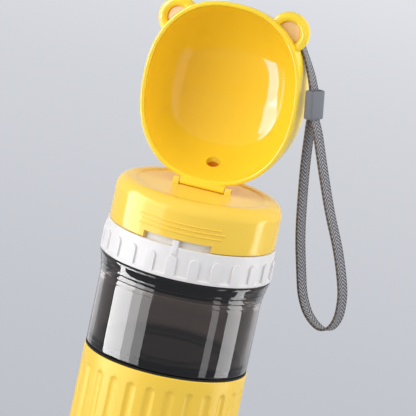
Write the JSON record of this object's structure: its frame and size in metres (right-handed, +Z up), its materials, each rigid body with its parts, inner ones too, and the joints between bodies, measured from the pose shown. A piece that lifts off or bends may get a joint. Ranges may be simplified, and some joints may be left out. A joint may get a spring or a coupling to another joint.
{
  "type": "dog travel water bottle",
  "caption": "Travel water bottle for a dog: fluted food cup, screw-on tank, ribbed lock ring, turning valve cap, folding drinking bowl with round ears and a wrist strap.",
  "frame": {"origin": "centre of the face the bottle stands on, on its long axis", "axes": "+Z up along the bottle, front (bowl's mouth, pointer) faces -Y, strap hangs on +X"},
  "size_m": [0.105, 0.0724, 0.2306],
  "materials": {
    "cup_yellow": "satin moulded plastic",
    "cap_yellow": "glossy moulded plastic",
    "bowl_yellow": "glossy moulded plastic",
    "inset_beige": "matt pad",
    "white_plastic": "satin moulded plastic",
    "smoke_clear": "clear smoke-tinted plastic",
    "white_rubber": "soft silicone",
    "grey_rubber": "soft silicone",
    "dark_rubber": "soft silicone",
    "steel": "turned steel",
    "webbing_grey": "woven webbing",
    "slider_grey": "satin moulded plastic"
  },
  "bodies": {
    "cup": {"food_cup": "cup_yellow"},
    "cup_gasket": {"cup_seal": "dark_rubber"},
    "tank": {"water_tank": "smoke_clear"},
    "neck_gasket": {"tank_seal": "white_rubber"},
    "ring": {"lock_ring": "white_plastic", "face_seal": "white_rubber"},
    "cap": {"valve_disc": "white_plastic", "hub_oring": "dark_rubber", "hub_screw": "steel", "cap_shell": "cap_yellow", "outlet_seat": "grey_rubber", "hinge_pin": "steel"},
    "bowl": {"drinking_bowl": "bowl_yellow", "ear_inset_left": "inset_beige", "ear_inset_right": "inset_beige", "strap_tail": "webbing_grey"},
    "strap": {"strap_lead": "webbing_grey", "strap_loop": "webbing_grey"},
    "slider": {"strap_slider": "slider_grey"}
  },
  "joints": [
    {"name": "tank_rise", "type": "slide", "parent": "cup", "child": "cup_gasket", "axis": [0, 0, 1], "range_m": [0, 0.008]},
    {"name": "tank_unscrew", "type": "hinge", "parent": "cup_gasket", "child": "tank", "pos_m": [0, 0, 0.0788], "axis": [0, 0, 1], "range_deg": [0, 360]},
    {"name": "cap_rise", "type": "slide", "parent": "tank", "child": "neck_gasket", "axis": [0, 0, 1], "range_m": [0, 0.008]},
    {"name": "cap_unscrew", "type": "hinge", "parent": "neck_gasket", "child": "ring", "pos_m": [0, 0, 0.1299], "axis": [0, 0, 1], "range_deg": [0, 360]},
    {"name": "valve_turn", "type": "hinge", "parent": "ring", "child": "cap", "pos_m": [0, 0, 0.1323], "axis": [0, 0, 1], "range_deg": [-22, 22]},
    {"name": "bowl_fold", "type": "hinge", "parent": "cap", "child": "bowl", "pos_m": [0, 0.0005, 0.1521], "axis": [1, 0, 0], "range_deg": [0, 90]},
    {"name": "strap_swing", "type": "hinge", "parent": "bowl", "child": "strap", "pos_m": [0.0306, 0.0104, 0.2113], "axis": [1, 0, 0], "range_deg": [-90, 0], "deforming": ["strap_tail"]},
    {"name": "slider_slide", "type": "slide", "parent": "strap", "child": "slider", "axis": [-0.1392, 0, 0.9903], "range_m": [0, 0.005], "deforming": ["strap_lead", "strap_loop"]}
  ],
  "couplings": [
    {"joint": "tank_rise", "follows": "tank_unscrew", "m_per_rad": 0.0012732},
    {"joint": "cap_rise", "follows": "cap_unscrew", "m_per_rad": 0.0012732},
    {"joint": "strap_swing", "follows": "bowl_fold", "ratio": -1}
  ]
}
